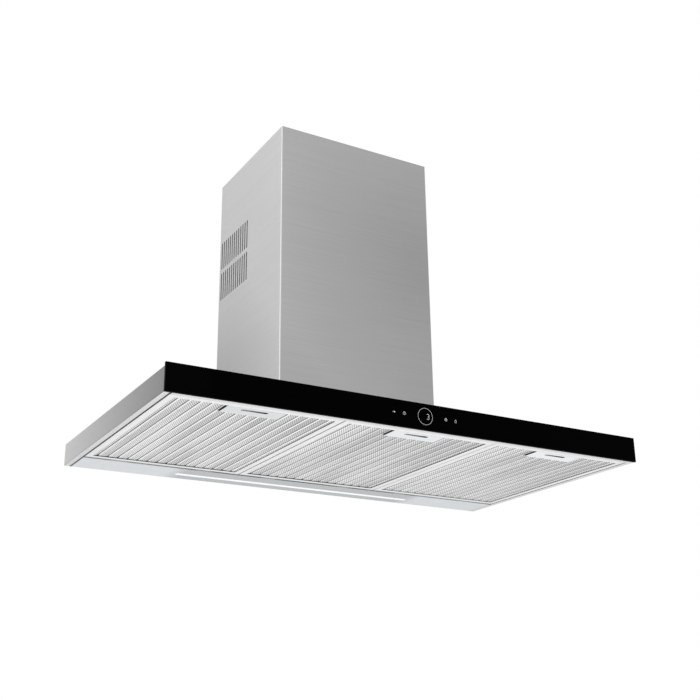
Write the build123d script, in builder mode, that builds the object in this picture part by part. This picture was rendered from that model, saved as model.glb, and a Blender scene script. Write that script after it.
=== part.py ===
# Wall chimney range hood of the 900 mm class: a flat steel canopy with a glass front,
# three lift-down grease filters, a centrifugal blower in its box and a telescopic chimney.
# Millimetres. X is the width, the front faces -Y, the wall is the plane Y = 0, and the
# origin is the middle of the two wall fixing holes.
import os
from math import acos, cos, degrees, radians, sin

from build123d import *

os.makedirs("parts", exist_ok=True)

# Canopy
hood_width = 900
hood_depth = 496
side_height = 40
sheet = 1
side_lip = 12
front_lip = 9
fold_radius = 1.5
seat_gap = 0.3

# Glass front
glass_height = 44.5
glass_thickness = 5
glass_chamfer = 0.6

# Touch control behind the glass
control_width = 160
control_window = 31
housing_margin = 1
housing_depth = 6.8
housing_wall = 1
board_thickness = 1.6
board_margin = 2
ring_radius = 14.5
ring_band = 1.2
digit_width = 8
digit_height = 15
digit_pitch = 11
pad_radius = 4.5
pad_inner = 40
pad_outer = 60

# Rear light panel
panel_depth = 73
panel_front_rise = 16
panel_rear_rise = 20
panel_gap = 0.7
led_end_room = 186
led_width = 12
led_from_wall = 32
diffuser_flange = 2
diffuser_flange_height = 1.2
channel_width = 20
channel_height = 9
channel_wall = 1.2
channel_overrun = 8
led_count = 24
led_size = 3.5
led_rise = 0.7

# Electronics in the space above the rear panel
driver_length = 140
driver_width = 38
driver_height = 24
driver_ear = 10
power_length = 130
power_width = 52
power_height = 26
power_wall = 2
power_lid = 2
electronics_end = 83
electronics_chamfer = 2
relay_size = 15
transformer_size = 20
electronics_mid = 37

# Grease filters
filter_count = 3
filter_gap = 2.4
filter_height = 10
filter_lift = 0.5
filter_wall = 1
filter_rim = 11
rib_count = 16
mesh_sheet = 0.8
rib_half = 3.5
rib_depth = 1.2
tongue_width = 30
tongue_spacing = 160
roll_radius = 1.5
roll_fit = 0.05
tongue_reach = 4
tongue_sheet = 1
clip_wall = 1.2
clip_mouth_start = 150
clip_mouth_end = 285
clip_width = 26

# Filter latches
latch_width = 97
latch_depth = 34
latch_sheet = 1
latch_nose = 30
latch_side_gap = 1.5
finger_length = 45
finger_width = 7
finger_setback = 11
pocket_depth = 4.5
guide_half = 36
guide_depth = 40
guide_wall = 1
guide_flange = 6
fence_half = 27
ear_reach = 5
spring_strip = 0.6
spring_half = 22

# Blower box and wall plate
box_flange = 16
plate_thickness = 2
plate_inset = 10
plate_corner = 8
plate_below = 110
plate_above = 25
wall_hole_inset = 20
wall_hole_radius = 4
wall_hole_rise = 28

# Scroll housing
scroll_width = 160
scroll_wall = 2
scroll_tip_gap = 7
scroll_opening = 38
tongue_angle = 60
scroll_floor_gap = 8
scroll_front_gap = 9.8
scroll_inlet_room = 60
neck_length = 28.4
neck_gap = 3
neck_flange = 9

# Inlet bells
bell_eye_gap = 4
bell_sweep = 12
bell_steps = 2
bell_wall = 2
bell_flange = 10
bell_clearance = 0.5

# Impeller, motor and shaft
impeller_radius = 80
impeller_side_gap = 8
blade_span = 14
blade_count = 36
blade_sheet = 1
blade_curve = 11
end_ring = 2
disc_sheet = 2
hub_radius = 14
hub_length = 20
shaft_radius = 4
shaft_fit = 0.05
shaft_in_motor = 16
motor_radius = 46
motor_chamfer = 6
motor_front = 16
bracket_sheet = 2
bracket_arm = 14
bracket_ring = 32
bracket_arms = 3

# Capacitor
capacitor_radius = 15
capacitor_length = 50
capacitor_side = 24
capacitor_rise = 40
clip_band = 1
clip_band_width = 12

# Outlet adapter and damper
adapter_plate = 2
adapter_flange = 10
adapter_rise = 45
collar_radius = 75
collar_wall = 2
collar_height = 45
collar_wall_room = 9
transition_sides = 24
damper_rise = 12
pin_radius = 2
pin_fit = 0.05
flap_sheet = 1.2
flap_clearance = 1.5
knuckle_wall = 1.25
knuckle_length = 18
knuckle_gap = 0.3
knuckle_front = 48
knuckle_rear = 24

# Chimney
chimney_side_room = 22.5
chimney_front_room = 30
chimney_height = 592
chimney_flange = 12
chimney_fold = 2
slide_gap = 1
slot_width = 4.5
slot_height = 60
slot_pitch = 10
slot_row_pitch = 68
slot_columns = 13
slot_rows = 2
slot_middle_rise = 395
slot_middle_from_wall = 70
curb_height = 15
curb_sheet = 1.5
curb_foot = 12
curb_fit = 0.2
sleeve_below_top = 2

# Cable gland
gland_radius = 9
gland_fit = 0.2
gland_chamfer = 2
gland_bore = 4
gland_height = 24
gland_nut_height = 6
gland_nut = 12
gland_side = 28
gland_from_wall = 60

# Fan sizes, worked outwards from the impeller to the box and the chimney round it
blade_inner = impeller_radius - blade_span
impeller_width = scroll_width - 2 * impeller_side_gap
bell_throat = blade_inner - bell_wall - bell_eye_gap
scroll_start = impeller_radius + blade_sheet + scroll_tip_gap
scroll_end = scroll_start + scroll_opening


def scroll_radius(angle):
    # Inside radius of the spiral wall, opening steadily from the tongue to the neck.
    return scroll_start + scroll_opening * (angle - tongue_angle) / (360 - tongue_angle)


scroll_drop = scroll_radius(270)
neck_rise = scroll_start + neck_length
box_width = scroll_width + 2 * scroll_inlet_room
box_depth = 2 * sheet + neck_gap + 2 * scroll_wall + scroll_end + scroll_radius(180) + scroll_front_gap
box_height = scroll_floor_gap + scroll_drop + scroll_wall + neck_rise + sheet
chimney_width = box_width + 2 * chimney_side_room
chimney_depth = box_depth + plate_thickness + chimney_front_room
plate_width = box_width - 2 * plate_inset
wall_hole_spacing = plate_width - 2 * wall_hole_inset

# Levels and planes shared by the pieces
canopy_bottom = -(side_height + box_height + wall_hole_rise)
canopy_top = canopy_bottom + side_height
shell_front = glass_thickness - hood_depth
window_half = hood_width / 2 - side_lip
window_front = shell_front + front_lip
panel_front = -panel_depth
control_middle = canopy_bottom + glass_height / 2
box_top = canopy_top + box_height
box_rear = -plate_thickness
box_front = box_rear - box_depth
box_half = box_width / 2

# Canopy shell: one folded sheet box, open below between its lips
box_open_half = box_half - sheet - box_flange
box_open_front = box_front + sheet + box_flange
box_open_rear = box_rear - sheet - box_flange
curb_outer = chimney_width / 2 - sheet - curb_fit
curb_front = sheet + curb_fit - chimney_depth

with BuildPart() as canopy_shell:
    with BuildSketch(Plane.XY.offset(canopy_bottom)):
        with Locations((0, shell_front / 2)):
            Rectangle(hood_width, -shell_front)
    extrude(amount=side_height)
    fillet(canopy_shell.edges().filter_by(Axis.Y), fold_radius)
    with BuildSketch(Plane.XY.offset(canopy_bottom + sheet)):
        with Locations((0, shell_front / 2)):
            Rectangle(hood_width - 2 * sheet, -shell_front - 2 * sheet)
    extrude(amount=side_height - 2 * sheet, mode=Mode.SUBTRACT)
    with BuildSketch(Plane.XY.offset(canopy_bottom)):
        with Locations((0, (window_front - sheet) / 2)):
            Rectangle(2 * window_half, -sheet - window_front)
    extrude(amount=sheet, mode=Mode.SUBTRACT)
    with BuildSketch(Plane.XY.offset(canopy_top - sheet)):
        with Locations((0, (box_open_front + box_open_rear) / 2)):
            Rectangle(2 * box_open_half, box_open_rear - box_open_front)
    extrude(amount=sheet, mode=Mode.SUBTRACT)
    with BuildSketch(Plane((0, shell_front, control_middle), (1, 0, 0), (0, -1, 0))):
        Rectangle(control_width, control_window)
    extrude(amount=-sheet, mode=Mode.SUBTRACT)
canopy_shell.part.label = "canopy_shell"
export_step(canopy_shell.part, "parts/canopy_shell.step")

# Glass front, bonded on the shell's front wall and a little taller than it
with BuildPart() as front_glass:
    with BuildSketch(Plane.XY.offset(canopy_bottom)):
        with Locations((0, shell_front - glass_thickness / 2)):
            Rectangle(hood_width, glass_thickness)
    extrude(amount=glass_height)
    chamfer(front_glass.faces().sort_by(Axis.Y)[0].edges(), glass_chamfer)
front_glass.part.label = "front_glass"
export_step(front_glass.part, "parts/front_glass.step")

# Touch control: tray, board with its sensing pads, and the lit ring with two digits
control_front = shell_front + sheet
tray_width = control_width + 2 * housing_margin
tray_height = control_window + 2 * housing_margin
tray_floor = control_front + housing_depth - housing_wall
board_front = tray_floor - board_thickness
control_plane = Plane((0, control_front, control_middle), (1, 0, 0), (0, -1, 0))
board_plane = Plane((0, board_front, control_middle), (1, 0, 0), (0, -1, 0))
glass_rest = shell_front + seat_gap

with BuildPart() as control_housing:
    with BuildSketch(control_plane):
        Rectangle(tray_width, tray_height)
    extrude(amount=-housing_depth)
    with BuildSketch(control_plane):
        Rectangle(tray_width - 2 * housing_wall, tray_height - 2 * housing_wall)
    extrude(amount=housing_wall - housing_depth, mode=Mode.SUBTRACT)
control_housing.part.label = "control_housing"
export_step(control_housing.part, "parts/control_housing.step")

with BuildPart() as touch_board:
    with BuildSketch(board_plane):
        Rectangle(control_width - board_margin, control_window - board_margin)
    extrude(amount=-board_thickness)
    with BuildSketch(board_plane):
        with Locations((-pad_outer, 0), (-pad_inner, 0), (pad_inner, 0), (pad_outer, 0)):
            Circle(pad_radius)
    extrude(amount=board_front - glass_rest)
touch_board.part.label = "touch_board"
export_step(touch_board.part, "parts/touch_board.step")

with BuildPart() as display_module:
    with BuildSketch(board_plane):
        Circle(ring_radius + ring_band / 2)
    extrude(amount=board_thickness)
    with BuildSketch(board_plane):
        Circle(ring_radius + ring_band / 2)
        Circle(ring_radius - ring_band / 2, mode=Mode.SUBTRACT)
        with GridLocations(digit_pitch, 0, 2, 1):
            Rectangle(digit_width, digit_height)
    extrude(amount=board_front - glass_rest)
display_module.part.label = "display_module"
export_step(display_module.part, "parts/display_module.step")

# Rear light panel: one channel profile with a long slot for the lamp
panel_length = 2 * (window_half - panel_gap)
panel_start = Plane.YZ.offset(-panel_length / 2)
panel_floor = canopy_bottom + sheet
led_y = -led_from_wall
led_length = 2 * (window_half - led_end_room)

with BuildPart() as rear_light_panel:
    with BuildSketch(panel_start):
        with BuildLine():
            Polyline(
                (panel_front, canopy_bottom),
                (-sheet, canopy_bottom),
                (-sheet, canopy_bottom + panel_rear_rise),
                (-2 * sheet, canopy_bottom + panel_rear_rise),
                (-2 * sheet, panel_floor),
                (panel_front + sheet, panel_floor),
                (panel_front + sheet, canopy_bottom + panel_front_rise),
                (panel_front, canopy_bottom + panel_front_rise),
                close=True,
            )
        make_face()
    extrude(amount=panel_length)
    with BuildSketch(Plane.XY.offset(canopy_bottom)):
        with Locations((0, led_y)):
            SlotOverall(led_length + seat_gap, led_width + seat_gap)
    extrude(amount=sheet, mode=Mode.SUBTRACT)
rear_light_panel.part.label = "rear_light_panel"
export_step(rear_light_panel.part, "parts/rear_light_panel.step")

# Lamp: milky cover in the slot, aluminium channel over it, board under the channel's web
channel_length = led_length + 2 * channel_overrun
channel_inner = channel_width - 2 * channel_wall
channel_top = panel_floor + channel_height

with BuildPart() as led_channel:
    with BuildSketch(Plane.YZ.offset(-channel_length / 2)):
        with Locations((led_y, panel_floor + channel_height / 2)):
            Rectangle(channel_width, channel_height)
        with Locations((led_y, panel_floor + (channel_height - channel_wall) / 2)):
            Rectangle(channel_inner, channel_height - channel_wall, mode=Mode.SUBTRACT)
    extrude(amount=channel_length)
led_channel.part.label = "led_channel"
export_step(led_channel.part, "parts/led_channel.step")

with BuildPart() as led_diffuser:
    with BuildSketch(Plane.XY.offset(canopy_bottom)):
        with Locations((0, led_y)):
            SlotOverall(led_length, led_width)
    extrude(amount=sheet)
    with BuildSketch(Plane.XY.offset(panel_floor)):
        with Locations((0, led_y)):
            SlotOverall(led_length + 2 * diffuser_flange, led_width + 2 * diffuser_flange)
    extrude(amount=diffuser_flange_height)
led_diffuser.part.label = "led_diffuser"
export_step(led_diffuser.part, "parts/led_diffuser.step")

with BuildPart() as led_board:
    with BuildSketch(Plane.XY.offset(channel_top - channel_wall)):
        with Locations((0, led_y)):
            Rectangle(led_length, led_width)
    extrude(amount=-board_thickness)
    with BuildSketch(Plane.XY.offset(channel_top - channel_wall - board_thickness)):
        with Locations((0, led_y)):
            with GridLocations(led_length / led_count, 0, led_count, 1):
                Rectangle(led_size, led_size)
    extrude(amount=-led_rise)
led_board.part.label = "led_board"
export_step(led_board.part, "parts/led_board.step")

# Lamp driver and mains control box, both standing on the rear panel
electronics_x = window_half - electronics_end
electronics_y = -electronics_mid

with BuildPart() as led_driver:
    with BuildSketch(Plane((electronics_x, electronics_y, panel_floor))):
        Rectangle(driver_length - 2 * driver_ear, driver_width)
    extrude(amount=driver_height)
    chamfer(led_driver.faces().sort_by(Axis.Z)[-1].edges(), electronics_chamfer)
    with BuildSketch(Plane((electronics_x, electronics_y, panel_floor))):
        SlotOverall(driver_length, driver_width / 2)
    extrude(amount=electronics_chamfer)
led_driver.part.label = "led_driver"
export_step(led_driver.part, "parts/led_driver.step")

power_plane = Plane((-electronics_x, electronics_y, panel_floor))
power_inner_length = power_length - 2 * power_wall
power_inner_width = power_width - 2 * power_wall
main_board_level = panel_floor + power_wall + seat_gap

with BuildPart() as power_box:
    with BuildSketch(power_plane):
        Rectangle(power_length, power_width)
    extrude(amount=power_height)
    with BuildSketch(power_plane.offset(power_wall)):
        Rectangle(power_inner_length, power_inner_width)
    extrude(amount=power_height - power_wall, mode=Mode.SUBTRACT)
power_box.part.label = "power_box"
export_step(power_box.part, "parts/power_box.step")

with BuildPart() as power_box_lid:
    with BuildSketch(power_plane.offset(power_height)):
        Rectangle(power_length, power_width)
    extrude(amount=power_lid)
    with BuildSketch(power_plane.offset(power_height)):
        Rectangle(power_inner_length - 2 * seat_gap, power_inner_width - 2 * seat_gap)
        Rectangle(power_inner_length - 2 * power_wall, power_inner_width - 2 * power_wall, mode=Mode.SUBTRACT)
    extrude(amount=-power_lid)
power_box_lid.part.label = "power_box_lid"
export_step(power_box_lid.part, "parts/power_box_lid.step")

with BuildPart() as main_board:
    with BuildSketch(power_plane.offset(power_wall + seat_gap)):
        Rectangle(power_inner_length - board_margin, power_inner_width - board_margin)
    extrude(amount=board_thickness)
    with BuildSketch(power_plane.offset(power_wall + seat_gap + board_thickness)):
        with Locations((-power_length / 4, 0)):
            Rectangle(transformer_size, transformer_size)
        with Locations((power_length / 4, 0)):
            with GridLocations(relay_size + board_margin, 0, 2, 1):
                Rectangle(relay_size, transformer_size)
    extrude(amount=relay_size)
main_board.part.label = "main_board"
export_step(main_board.part, "parts/main_board.step")

# Filter places: three equal filters fill the window in front of the rear panel
filter_pitch = 2 * window_half / filter_count
filter_width = filter_pitch - filter_gap
filter_bottom = canopy_bottom + filter_lift
filter_top = filter_bottom + filter_height
axis_y = panel_front - roll_radius - roll_fit - clip_wall
axis_z = filter_bottom + roll_radius + roll_fit + clip_wall
filter_rear = axis_y - tongue_reach
filter_front = window_front + filter_gap / 2
filter_depth = filter_rear - filter_front
filter_middle = (filter_rear + filter_front) / 2
channel_floor = filter_bottom + filter_wall
groove = filter_height - 2 * filter_wall
front_inside = filter_front + filter_wall
window_edge = filter_front + filter_rim
filter_places = {
    "left": -filter_pitch,
    "centre": 0,
    "right": filter_pitch,
}

# Seat clips: spring-steel cradles on the panel's front wall, one pair for each filter
with BuildPart() as filter_seat_clips:
    for place in filter_places.values():
        for side in (-1, 1):
            clip_start = place + side * tongue_spacing / 2 - clip_width / 2
            with BuildSketch(Plane((clip_start, axis_y, axis_z), (0, 1, 0), (1, 0, 0))):
                Circle(roll_radius + roll_fit + clip_wall)
                with Locations(((panel_front - axis_y) / 2, 0)):
                    Rectangle(panel_front - axis_y, 2 * (roll_radius + roll_fit + clip_wall) - filter_lift)
                Circle(roll_radius + roll_fit, mode=Mode.SUBTRACT)
                with BuildLine():
                    mouth = 2 * (roll_radius + clip_wall)
                    mouth_middle = (clip_mouth_start + clip_mouth_end) / 2
                    Polyline(
                        (0, 0),
                        (mouth * cos(radians(clip_mouth_start)), mouth * sin(radians(clip_mouth_start))),
                        (2 * mouth * cos(radians(mouth_middle)), 2 * mouth * sin(radians(mouth_middle))),
                        (mouth * cos(radians(clip_mouth_end)), mouth * sin(radians(clip_mouth_end))),
                        close=True,
                    )
                make_face(mode=Mode.SUBTRACT)
            extrude(amount=clip_width)
filter_seat_clips.part.label = "filter_seat_clips"
export_step(filter_seat_clips.part, "parts/filter_seat_clips.step")

# Latch places, the same on every filter
nose_level = channel_floor + seat_gap
nose_tip = window_front + seat_gap
latch_front = window_edge + seat_gap
latch_rear = latch_front + latch_depth
finger_middle = latch_front + finger_setback
guide_bottom = nose_level + latch_sheet + seat_gap
guide_top = filter_top - filter_wall
guide_rear = front_inside + guide_depth
fence_y = finger_middle + finger_width / 2 + 2 * latch_sheet
ear_level = guide_bottom + guide_wall + seat_gap
fence_top = guide_top - guide_wall - seat_gap
notch_half = latch_width / 2 + latch_side_gap
rib_pitch = (filter_width - 2 * filter_wall - 2 * seat_gap) / rib_count
mesh_bottom = channel_floor + seat_gap
mesh_height = groove - 2 * seat_gap
mesh_depth = filter_depth - 2 * filter_wall - 2 * seat_gap

for name, place in filter_places.items():
    # Frame: folded channel with a rim below and above, rolled tongues at the rear edge
    with BuildPart() as frame:
        with BuildSketch(Plane((place, filter_middle, filter_bottom))):
            Rectangle(filter_width, filter_depth)
        extrude(amount=filter_height)
        with BuildSketch(Plane((place, filter_middle, channel_floor))):
            Rectangle(filter_width - 2 * filter_wall, filter_depth - 2 * filter_wall)
        extrude(amount=groove, mode=Mode.SUBTRACT)
        with BuildSketch(Plane((place, filter_middle, filter_bottom))):
            Rectangle(filter_width - 2 * filter_rim, filter_depth - 2 * filter_rim)
        extrude(amount=filter_height, mode=Mode.SUBTRACT)
        with BuildSketch(Plane((place, filter_front, nose_level + latch_sheet / 2), (1, 0, 0), (0, -1, 0))):
            Rectangle(latch_nose + 2 * seat_gap, latch_sheet + 2 * seat_gap)
        extrude(amount=-filter_wall, mode=Mode.SUBTRACT)
        for side in (-1, 1):
            tongue_start = place + side * tongue_spacing / 2 - tongue_width / 2
            with BuildSketch(Plane((tongue_start, axis_y, axis_z), (0, 1, 0), (1, 0, 0))):
                Circle(roll_radius)
                with Locations((-tongue_reach / 2, 0)):
                    Rectangle(tongue_reach, tongue_sheet)
            extrude(amount=tongue_width)
    frame.part.label = f"filter_{name}_frame"
    export_step(frame.part, f"parts/filter_{name}_frame.step")

    # Mesh pack: a flat hollow pack with shallow grooves pressed in its lower face, notched at the latch
    with BuildPart() as mesh:
        with BuildSketch(Plane((place, filter_middle + mesh_depth / 2, mesh_bottom), (1, 0, 0), (0, -1, 0))):
            for inset in (0, mesh_sheet):
                pack_half = rib_count / 2 * rib_pitch - inset
                with BuildLine():
                    lower = [(-pack_half, inset)]
                    for rib in range(1, rib_count):
                        rib_x = (rib - rib_count / 2) * rib_pitch
                        lower.append((rib_x - rib_half, inset))
                        lower.append((rib_x, inset + rib_depth))
                        lower.append((rib_x + rib_half, inset))
                    upper = [(pack_half, mesh_height - inset), (-pack_half, mesh_height - inset)]
                    Polyline(*lower, (pack_half, inset), *upper, close=True)
                make_face(mode=Mode.SUBTRACT if inset else Mode.ADD)
        extrude(amount=mesh_depth)
        notch_depth = guide_rear + seat_gap - filter_front
        with BuildSketch(Plane((place, filter_front + notch_depth / 2, mesh_bottom))):
            Rectangle(2 * notch_half, notch_depth)
        extrude(amount=groove, mode=Mode.SUBTRACT)
    mesh.part.label = f"filter_{name}_mesh"
    export_step(mesh.part, f"parts/filter_{name}_mesh.step")

    # Latch guide: inverted tray fixed in the frame's front channel, flanges carry the latch
    with BuildPart() as guide:
        with BuildSketch(Plane((place, (front_inside + guide_rear) / 2, guide_bottom))):
            Rectangle(2 * guide_half, guide_depth)
        extrude(amount=guide_top - guide_bottom)
        with BuildSketch(Plane((place, (front_inside + guide_rear) / 2, guide_bottom + guide_wall))):
            Rectangle(2 * (guide_half - guide_wall), guide_depth - 2 * guide_wall)
        extrude(amount=guide_top - guide_bottom - 2 * guide_wall, mode=Mode.SUBTRACT)
        with BuildSketch(Plane((place, (front_inside + guide_rear) / 2, guide_bottom))):
            Rectangle(2 * (guide_half - guide_flange), guide_depth - 2 * guide_wall)
        extrude(amount=guide_wall, mode=Mode.SUBTRACT)
    guide.part.label = f"filter_{name}_latch_guide"
    export_step(guide.part, f"parts/filter_{name}_latch_guide.step")

    # Latch plate: finger pocket, nose joggled over the rim, fence and ears inside the guide
    with BuildPart() as latch:
        with BuildSketch(Plane((place, (latch_front + latch_rear) / 2, filter_bottom))):
            Rectangle(latch_width, latch_depth)
        extrude(amount=latch_sheet)
        fillet(latch.edges().filter_by(Axis.Z), latch_sheet)
        with BuildSketch(Plane((place, finger_middle, filter_bottom))):
            SlotOverall(finger_length + 2 * latch_sheet, finger_width + 2 * latch_sheet)
        extrude(amount=pocket_depth + latch_sheet)
        with BuildSketch(Plane((place, finger_middle, filter_bottom))):
            SlotOverall(finger_length, finger_width)
        extrude(amount=pocket_depth, mode=Mode.SUBTRACT)
        with BuildSketch(Plane((place - latch_nose / 2, 0, 0), (0, 1, 0), (1, 0, 0))):
            with BuildLine():
                Polyline(
                    (latch_front + latch_sheet, filter_bottom),
                    (latch_front + latch_sheet, nose_level + latch_sheet),
                    (nose_tip, nose_level + latch_sheet),
                    (nose_tip, nose_level),
                    (latch_front, nose_level),
                    (latch_front, filter_bottom),
                    close=True,
                )
            make_face()
        extrude(amount=latch_nose)
        with BuildSketch(Plane((place, fence_y, filter_bottom))):
            Rectangle(2 * fence_half, latch_sheet)
        extrude(amount=fence_top - filter_bottom)
        with BuildSketch(Plane((place, fence_y, ear_level))):
            Rectangle(2 * (fence_half + ear_reach), ear_reach)
        extrude(amount=latch_sheet)
    latch.part.label = f"filter_{name}_latch"
    export_step(latch.part, f"parts/filter_{name}_latch.step")

    # Leaf spring bowed between the latch's fence and the guide's rear wall
    spring_front = fence_y + ear_reach / 2 + seat_gap + spring_strip / 2
    spring_rear = guide_rear - guide_wall - seat_gap - spring_strip
    with BuildPart() as spring:
        with BuildSketch(Plane((place, 0, ear_level))):
            with BuildLine():
                ThreePointArc((-spring_half, spring_rear), (0, spring_front), (spring_half, spring_rear))
            trace(line_width=spring_strip)
        extrude(amount=fence_top - ear_level)
    spring.part.label = f"filter_{name}_latch_spring"
    export_step(spring.part, f"parts/filter_{name}_latch_spring.step")

# Blower box: open below, its rim fixed to the canopy, its top cut for the scroll's neck
half_scroll = scroll_width / 2
neck_half = half_scroll - scroll_wall
fan_y = box_rear - sheet - neck_gap - scroll_wall - scroll_end
neck_rear = fan_y + scroll_end
neck_front = fan_y + scroll_start * cos(radians(tongue_angle))
fan_z = canopy_top + scroll_floor_gap + scroll_drop + scroll_wall
neck_top = box_top - sheet
neck_middle = (neck_front + neck_rear) / 2
neck_depth = neck_rear - neck_front
gland_x = box_half - gland_side
gland_y = -gland_from_wall

with BuildPart() as blower_box:
    with BuildSketch(Plane((0, (box_front + box_rear) / 2, canopy_top))):
        Rectangle(box_width, box_depth)
    extrude(amount=box_height)
    with BuildSketch(Plane((0, (box_front + box_rear) / 2, canopy_top + sheet))):
        Rectangle(box_width - 2 * sheet, box_depth - 2 * sheet)
    extrude(amount=box_height - 2 * sheet, mode=Mode.SUBTRACT)
    with BuildSketch(Plane((0, (box_front + box_rear) / 2, canopy_top))):
        Rectangle(2 * box_open_half, box_open_rear - box_open_front)
    extrude(amount=sheet, mode=Mode.SUBTRACT)
    with BuildSketch(Plane.XY.offset(neck_top)):
        with Locations((0, neck_middle)):
            Rectangle(2 * neck_half, neck_depth)
        with Locations((gland_x, gland_y)):
            Circle(gland_radius)
    extrude(amount=sheet, mode=Mode.SUBTRACT)
blower_box.part.label = "blower_box"
export_step(blower_box.part, "parts/blower_box.step")

# Wall plate behind the box, standing above it with the two fixing holes
with BuildPart() as wall_plate:
    with BuildSketch(Plane((0, 0, 0), (1, 0, 0), (0, -1, 0))):
        with Locations((0, (plate_above - plate_below) / 2)):
            RectangleRounded(plate_width, plate_above + plate_below, plate_corner)
        with GridLocations(wall_hole_spacing, 0, 2, 1):
            Circle(wall_hole_radius, mode=Mode.SUBTRACT)
    extrude(amount=plate_thickness)
wall_plate.part.label = "wall_plate"
export_step(wall_plate.part, "parts/wall_plate.step")


def scroll_wall_line(wall, first_angle):
    # Draws the spiral wall as arcs from the tongue round to the neck, and returns its two ends.
    points = []
    turn_steps = 10
    for step in range(turn_steps + 1):
        angle = first_angle + (360 - first_angle) * step / turn_steps
        radius = scroll_radius(angle) + wall
        points.append((radius * cos(radians(angle)), radius * sin(radians(angle))))
    for first in range(0, turn_steps, 2):
        ThreePointArc(*points[first:first + 3])
    return points[0], points[-1]


# Scroll housing: two moulded halves that meet in the middle of the fan
outer_start = degrees(acos((neck_front - scroll_wall - fan_y) / (scroll_start + scroll_wall)))
bell_hole = bell_throat + bell_sweep + bell_wall + bell_clearance
bell_edge = bell_throat + bell_sweep + bell_wall + bell_flange
fan_plane = Plane((0, fan_y, fan_z), (0, 1, 0), (1, 0, 0))

for name, side in {"left": -1, "right": 1}.items():
    with BuildPart() as scroll:
        with BuildSketch(fan_plane):
            with BuildLine():
                tongue, mouth = scroll_wall_line(scroll_wall, outer_start)
                Polyline(mouth, (mouth[0], neck_rise), (tongue[0], neck_rise), tongue)
            make_face()
        extrude(amount=side * half_scroll)
        with BuildSketch(fan_plane):
            with BuildLine():
                tongue, mouth = scroll_wall_line(0, tongue_angle)
                Polyline(mouth, (mouth[0], neck_rise), (tongue[0], neck_rise), tongue)
            make_face()
        extrude(amount=side * neck_half, mode=Mode.SUBTRACT)
        with BuildSketch(fan_plane):
            Circle(bell_hole)
        extrude(amount=side * half_scroll, mode=Mode.SUBTRACT)
        with BuildSketch(Plane.XY.offset(neck_top)):
            with Locations((side * (half_scroll + neck_flange) / 2, neck_middle - neck_flange / 2 + neck_gap / 4)):
                Rectangle(half_scroll + neck_flange, neck_depth + 2 * scroll_wall + neck_flange + neck_gap / 2)
            with Locations((side * neck_half / 2, neck_middle)):
                Rectangle(neck_half, neck_depth, mode=Mode.SUBTRACT)
        extrude(amount=-scroll_wall)
    scroll.part.label = f"scroll_{name}"
    export_step(scroll.part, f"parts/scroll_{name}.step")

    # Inlet bell seated on the scroll's side wall, its throat reaching into the impeller's eye
    sweep_centre = bell_throat + bell_sweep + bell_wall
    throat_x = half_scroll - bell_sweep
    face_x = half_scroll + bell_wall
    with BuildPart() as bell:
        with BuildSketch(Plane((0, fan_y, fan_z), (0, 1, 0), (0, 0, 1))):
            with BuildLine():
                turns = [radians(90 * step / bell_steps) for step in range(bell_steps + 1)]
                inner = []
                outer = []
                for turn in turns:
                    inner.append((sweep_centre - bell_sweep * cos(turn), -side * (throat_x + bell_sweep * sin(turn))))
                    reach = bell_sweep + bell_wall
                    outer.append((sweep_centre - reach * cos(turn), -side * (throat_x + reach * sin(turn))))
                flange = [
                    (sweep_centre + bell_flange, -side * half_scroll),
                    (sweep_centre + bell_flange, -side * face_x),
                ]
                Polyline(*inner, *flange, *reversed(outer), close=True)
            make_face()
        revolve(axis=Axis((0, fan_y, fan_z), (1, 0, 0)))
    bell.part.label = f"inlet_bell_{name}"
    export_step(bell.part, f"parts/inlet_bell_{name}.step")

# Impeller: forward-curved blades between two end rings and a middle disc with its hub
half_impeller = impeller_width / 2
blade_place = blade_inner + blade_span / 2
impeller_start = Plane((-half_impeller, fan_y, fan_z), (0, 1, 0), (1, 0, 0))
motor_face = half_scroll + bell_wall

with BuildPart() as impeller:
    with BuildSketch(impeller_start):
        with PolarLocations(0, blade_count):
            with BuildLine():
                ThreePointArc(
                    (blade_inner + blade_sheet, 0),
                    (blade_place, blade_span / 4),
                    (impeller_radius - blade_sheet, blade_curve),
                )
            trace(line_width=blade_sheet)
    extrude(amount=impeller_width)
    for start in (-half_impeller, half_impeller - end_ring):
        with BuildSketch(Plane((start, fan_y, fan_z), (0, 1, 0), (1, 0, 0))):
            Circle(impeller_radius + blade_sheet)
            Circle(blade_inner, mode=Mode.SUBTRACT)
        extrude(amount=end_ring)
    with BuildSketch(Plane((-disc_sheet / 2, fan_y, fan_z), (0, 1, 0), (1, 0, 0))):
        Circle(impeller_radius)
    extrude(amount=disc_sheet)
    with BuildSketch(Plane((-hub_length / 2, fan_y, fan_z), (0, 1, 0), (1, 0, 0))):
        Circle(hub_radius)
    extrude(amount=hub_length)
    with BuildSketch(impeller_start):
        Circle(shaft_radius)
    extrude(amount=impeller_width, mode=Mode.SUBTRACT)
impeller.part.label = "impeller"
export_step(impeller.part, "parts/impeller.step")

with BuildPart() as motor_shaft:
    with BuildSketch(Plane((-hub_length / 2, fan_y, fan_z), (0, 1, 0), (1, 0, 0))):
        Circle(shaft_radius)
    extrude(amount=hub_length / 2 + motor_front + shaft_in_motor)
motor_shaft.part.label = "motor_shaft"
export_step(motor_shaft.part, "parts/motor_shaft.step")

# Motor: closed can with a stepped nose and a bearing bore, carried from its rear face
with BuildPart() as motor:
    with BuildSketch(Plane((motor_front, fan_y, fan_z), (0, 1, 0), (1, 0, 0))):
        Circle(motor_radius)
    extrude(amount=motor_face - motor_front)
    chamfer(motor.faces().sort_by(Axis.X)[0].edges(), motor_chamfer)
    with BuildSketch(Plane((motor_front, fan_y, fan_z), (0, 1, 0), (1, 0, 0))):
        Circle(shaft_radius + shaft_fit)
    extrude(amount=shaft_in_motor + seat_gap, mode=Mode.SUBTRACT)
motor.part.label = "motor"
export_step(motor.part, "parts/motor.step")

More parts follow.
